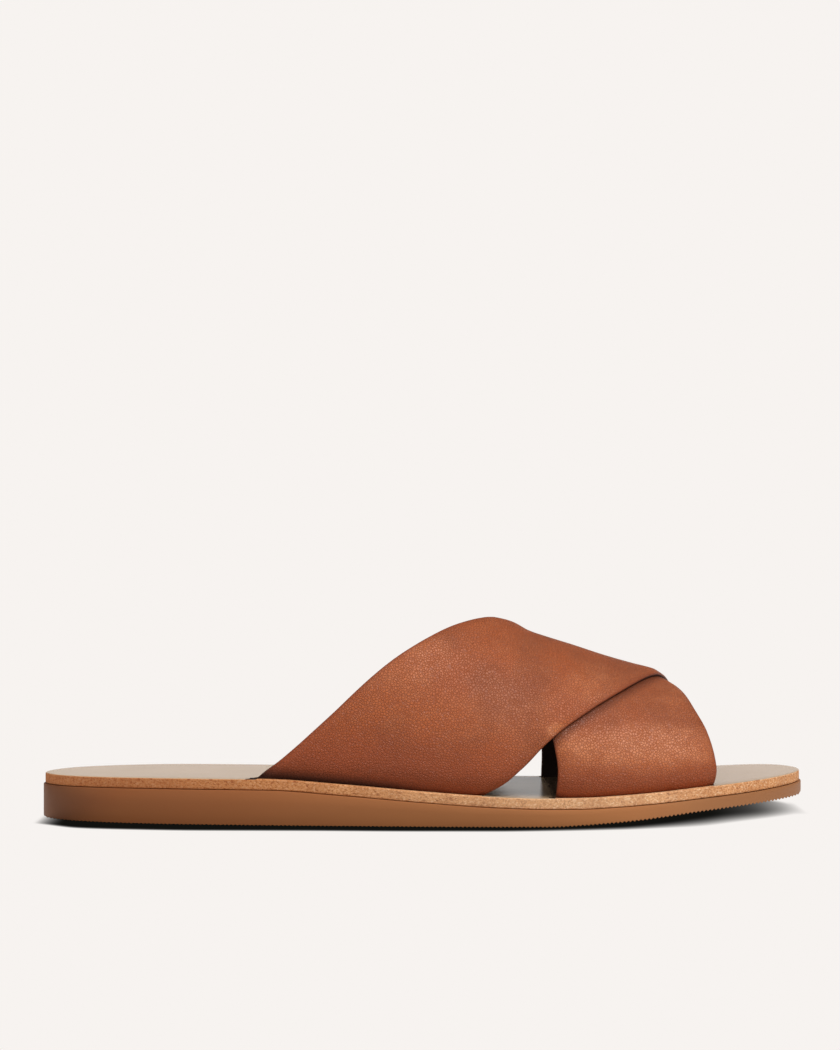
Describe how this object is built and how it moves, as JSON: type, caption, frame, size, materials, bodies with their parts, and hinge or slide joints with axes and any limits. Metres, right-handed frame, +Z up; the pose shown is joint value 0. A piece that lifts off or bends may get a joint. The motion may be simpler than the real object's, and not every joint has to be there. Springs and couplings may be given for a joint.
{
  "type": "cross strap sandal",
  "caption": "Flat slide sandal for the right foot: rubber outsole, leather board and insole, and wide leather straps that cross over the instep.",
  "frame": {"origin": "on the floor, under the middle of the shoe's length and breadth", "axes": "+X towards the toe, +Y towards the inner side where the big toe is, +Z up"},
  "size_m": [0.255, 0.096, 0.0672],
  "materials": {
    "outsole_rubber": "moulded brown rubber, satin",
    "board_leather": "raw cut edge, fibrous tan with darker and lighter flecks",
    "insole_leather": "smooth taupe, soft gloss",
    "strap_leather": "cognac with fine pebbled grain, satin, folded edges"
  },
  "bodies": {
    "root": {"outsole": "outsole_rubber", "midsole": "board_leather", "insole": "insole_leather", "upper": "strap_leather"}
  },
  "joints": []
}
